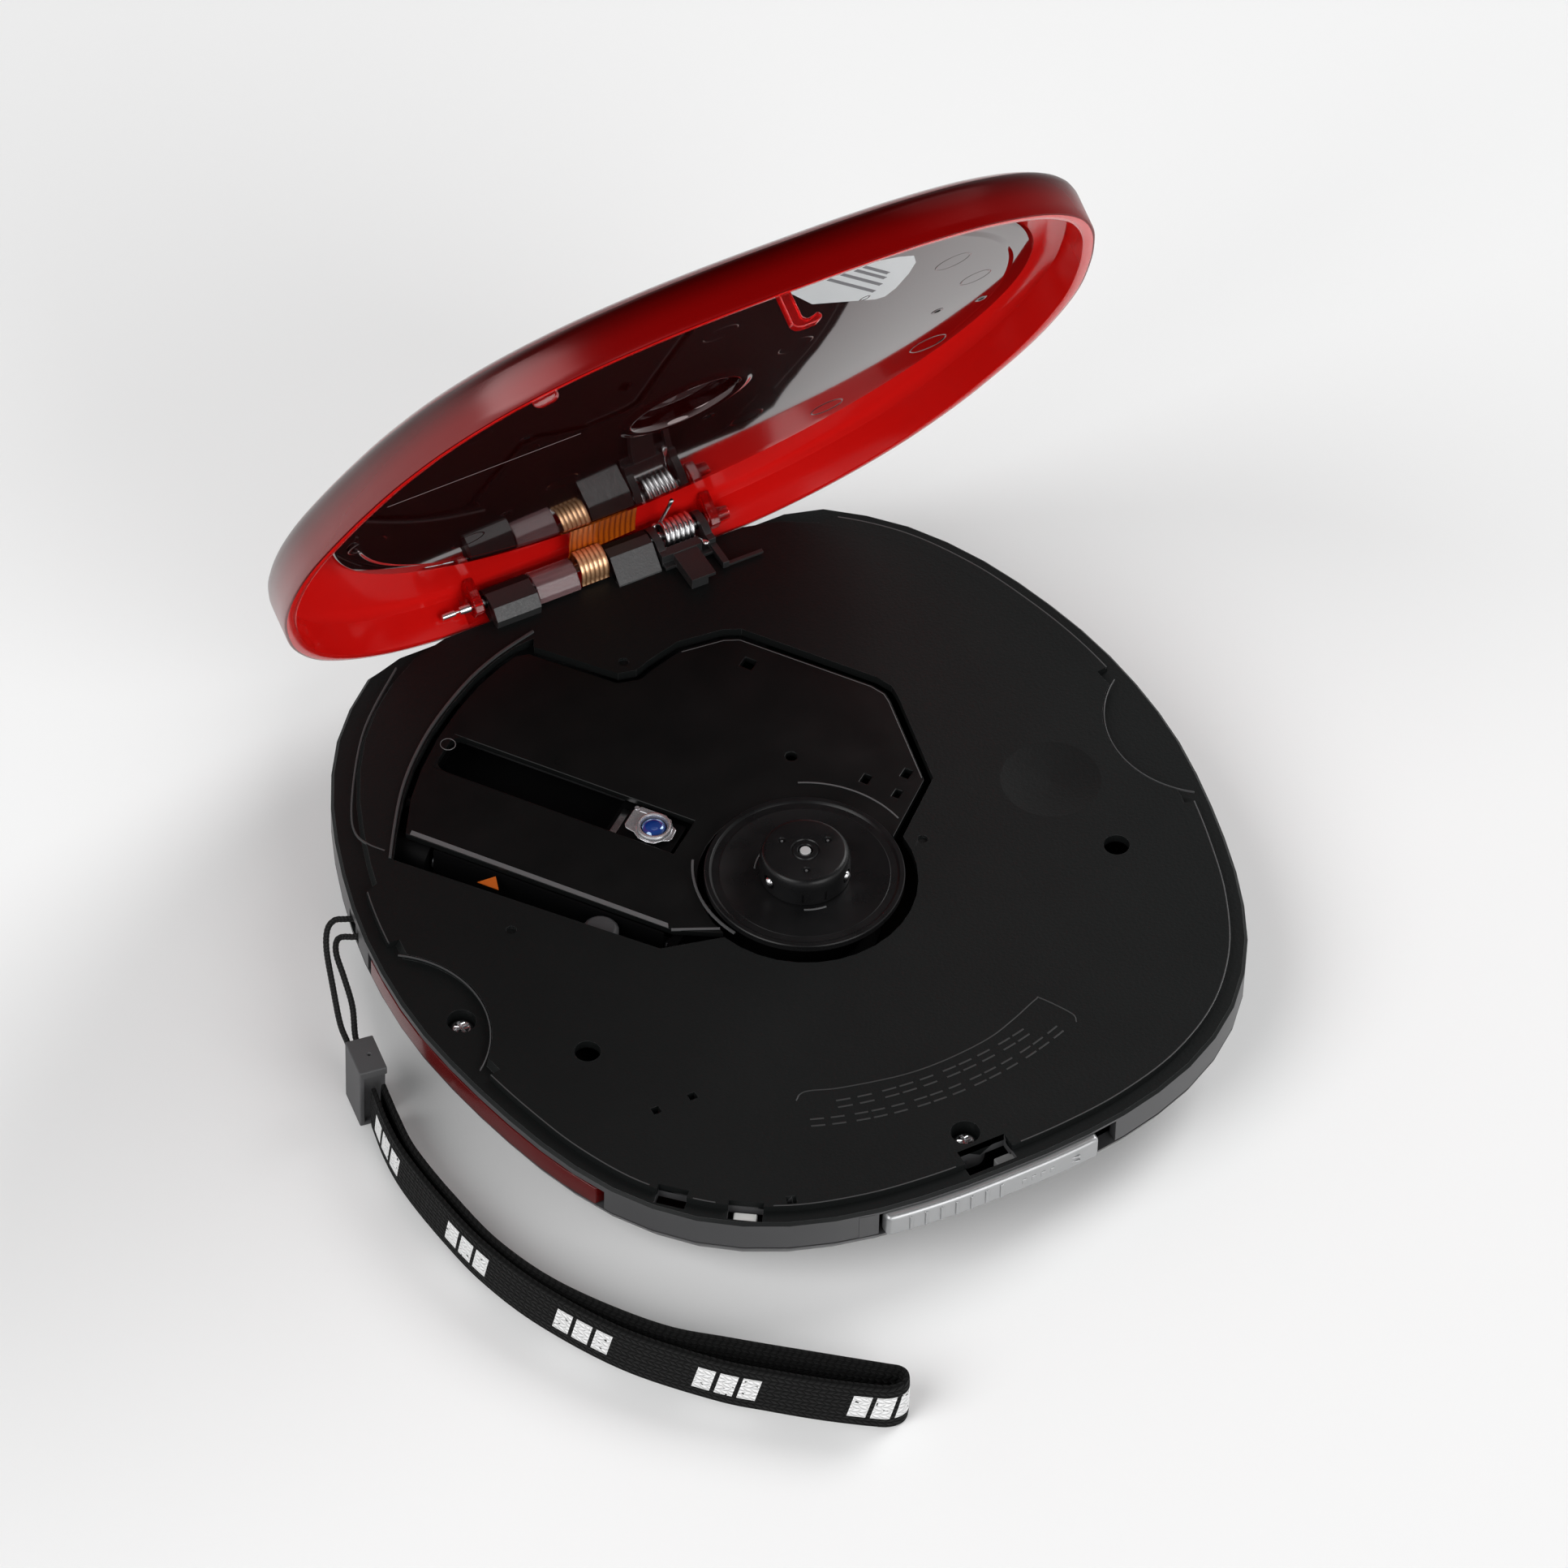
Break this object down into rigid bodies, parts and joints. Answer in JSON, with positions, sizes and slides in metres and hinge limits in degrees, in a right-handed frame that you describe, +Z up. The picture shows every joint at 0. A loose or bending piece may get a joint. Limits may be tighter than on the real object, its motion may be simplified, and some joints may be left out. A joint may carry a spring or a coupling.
{
  "type": "portable cd player",
  "caption": "Battery-powered portable disc player with a sprung, clear red hinged lid held open, disc drive with pickup sled inside, slide latch and a wrist strap.",
  "frame": {"origin": "where the spindle axis meets the flat underside of the case", "axes": "+Z up along the spindle, +Y towards the lid hinge at the rear, +X to the player's right"},
  "size_m": [0.151, 0.177, 0.1509],
  "materials": {
    "deck_black": "fine textured black",
    "case_grey": "satin dark grey",
    "trim_red": "clear dark red, polished",
    "foot_rubber": "matte rubber",
    "bright_steel": "bright plated steel",
    "slider_silver": "silver paint on plastic",
    "latch_grey": "moulded",
    "switch_white": "moulded white",
    "cell_sleeve": "printed sleeve, left plain",
    "contact_steel": "plated spring steel",
    "board_green": "solder resist",
    "jack_black": "moulded",
    "knob_grey": "moulded",
    "mech_black": "semi-gloss black",
    "chassis_grey": "glass-filled plastic",
    "motor_can": "plated can",
    "damper_rubber": "soft grey",
    "flex_copper": "copper lines under clear film",
    "sled_black": "moulded",
    "holder_alloy": "satin",
    "lens_glass": "coated lens",
    "bracket_black": "black steel",
    "lid_red": "clear red, polished",
    "plate_smoke": "polished dark plate",
    "lcd_grey": "grey display",
    "window_clear": "clear",
    "key_silver": "silver paint",
    "sleeve_clear": "clear pinkish",
    "cord_black": "braided cord",
    "block_rubber": "grey moulded rubber",
    "web_black": "woven tape"
  },
  "bodies": {
    "case": {"top_deck": "deck_black", "bottom_case": "case_grey", "side_trim": "trim_red", "foot_1": "foot_rubber", "foot_2": "foot_rubber", "foot_3": "foot_rubber", "foot_4": "foot_rubber", "deck_screw_left": "bright_steel", "deck_screw_front": "bright_steel", "battery_front": "cell_sleeve", "battery_rear": "cell_sleeve", "contact_left": "contact_steel", "contact_right": "contact_steel", "main_board": "board_green", "headphone_jack": "jack_black", "dc_jack": "jack_black", "mech_plate": "mech_black", "mech_chassis": "chassis_grey", "mech_flex": "flex_copper", "spindle_motor": "motor_can", "damper": "damper_rubber", "guide_rod_left": "bright_steel", "guide_rod_right": "bright_steel", "feed_motor": "motor_can", "hinge_rod": "bright_steel", "hinge_pin": "bright_steel", "hinge_sleeve": "sleeve_clear", "spring_bracket": "bracket_black", "torsion_spring": "bright_steel", "flex_lower": "flex_copper", "strap_cord": "cord_black", "strap_block": "block_rubber", "strap_webbing": "web_black"},
    "lid": {"lid_shell": "lid_red", "lid_plate": "plate_smoke", "lid_board": "board_green", "lcd": "lcd_grey", "lcd_window": "window_clear", "lid_flex": "flex_copper"},
    "open_latch": {"open_slider": "slider_silver", "latch_bar": "latch_grey"},
    "lid_switch": {"lid_switch": "switch_white"},
    "turntable": {"platter": "mech_black", "hub": "mech_black", "spindle_shaft": "bright_steel", "clamp_ball_1": "bright_steel", "clamp_ball_2": "bright_steel", "clamp_ball_3": "bright_steel"},
    "sled": {"pickup_sled": "sled_black"},
    "lens": {"lens_holder": "holder_alloy", "objective_lens": "lens_glass"},
    "feed_screw": {"feed_screw": "bright_steel"},
    "battery_door": {"battery_door": "case_grey"},
    "bass_switch": {"bass_switch": "knob_grey"},
    "stop_button": {"stop_button": "key_silver"},
    "skip_back_button": {"skip_back_button": "key_silver"},
    "play_button": {"play_button": "key_silver"},
    "skip_forward_button": {"skip_forward_button": "key_silver"},
    "volume_down_button": {"volume_down_button": "key_silver"},
    "volume_up_button": {"volume_up_button": "key_silver"}
  },
  "joints": [
    {"name": "lid_hinge", "type": "hinge", "parent": "case", "child": "lid", "pos_m": [0, 0.0763, 0.02025], "axis": [1, 0, 0], "range_deg": [0, 62.7], "stiffness_Nm_per_rad": 0.06, "springref_deg": -34.38, "deforming": ["torsion_spring", "flex_lower"]},
    {"name": "open_latch_slide", "type": "slide", "parent": "case", "child": "open_latch", "axis": [1, 0, 0], "range_m": [0, 0.0035], "stiffness_N_per_m": 200},
    {"name": "lid_switch_press", "type": "slide", "parent": "case", "child": "lid_switch", "axis": [0, 0, -1], "range_m": [0, 0.0012], "stiffness_N_per_m": 150},
    {"name": "disc_spin", "type": "hinge", "parent": "case", "child": "turntable", "pos_m": [0, 0, 0.019], "axis": [0, 0, 1], "continuous": true},
    {"name": "sled_travel", "type": "slide", "parent": "case", "child": "sled", "axis": [-0.6, 0.8, 0], "range_m": [-0.0014, 0.031]},
    {"name": "lens_focus", "type": "slide", "parent": "sled", "child": "lens", "axis": [0, 0, 1], "range_m": [-0.0003, 0.0003], "stiffness_N_per_m": 40},
    {"name": "feed_screw_turn", "type": "hinge", "parent": "case", "child": "feed_screw", "pos_m": [-0.02244, -0.00008, 0.012], "axis": [-0.6, 0.8, 0], "range_deg": [-168, 3720]},
    {"name": "battery_door_hinge", "type": "hinge", "parent": "case", "child": "battery_door", "pos_m": [0, -0.0179, 0], "axis": [1, 0, 0], "range_deg": [0, 90]},
    {"name": "bass_switch_slide", "type": "slide", "parent": "case", "child": "bass_switch", "axis": [0, 1, 0], "range_m": [-0.0023, 0.003]},
    {"name": "stop_button_press", "type": "slide", "parent": "lid", "child": "stop_button", "axis": [0, -0.8886, -0.4587], "range_m": [0, 0.0004], "stiffness_N_per_m": 600},
    {"name": "skip_back_button_press", "type": "slide", "parent": "lid", "child": "skip_back_button", "axis": [0, -0.8886, -0.4587], "range_m": [0, 0.0004], "stiffness_N_per_m": 600},
    {"name": "play_button_press", "type": "slide", "parent": "lid", "child": "play_button", "axis": [0, -0.8886, -0.4587], "range_m": [0, 0.0004], "stiffness_N_per_m": 600},
    {"name": "skip_forward_button_press", "type": "slide", "parent": "lid", "child": "skip_forward_button", "axis": [0, -0.8886, -0.4587], "range_m": [0, 0.0004], "stiffness_N_per_m": 600},
    {"name": "volume_down_button_press", "type": "slide", "parent": "lid", "child": "volume_down_button", "axis": [0, -0.8886, -0.4587], "range_m": [0, 0.0004], "stiffness_N_per_m": 600},
    {"name": "volume_up_button_press", "type": "slide", "parent": "lid", "child": "volume_up_button", "axis": [0, -0.8886, -0.4587], "range_m": [0, 0.0004], "stiffness_N_per_m": 600}
  ],
  "couplings": [
    {"joint": "feed_screw_turn", "follows": "sled_travel", "rad_per_m": 2094.4}
  ]
}
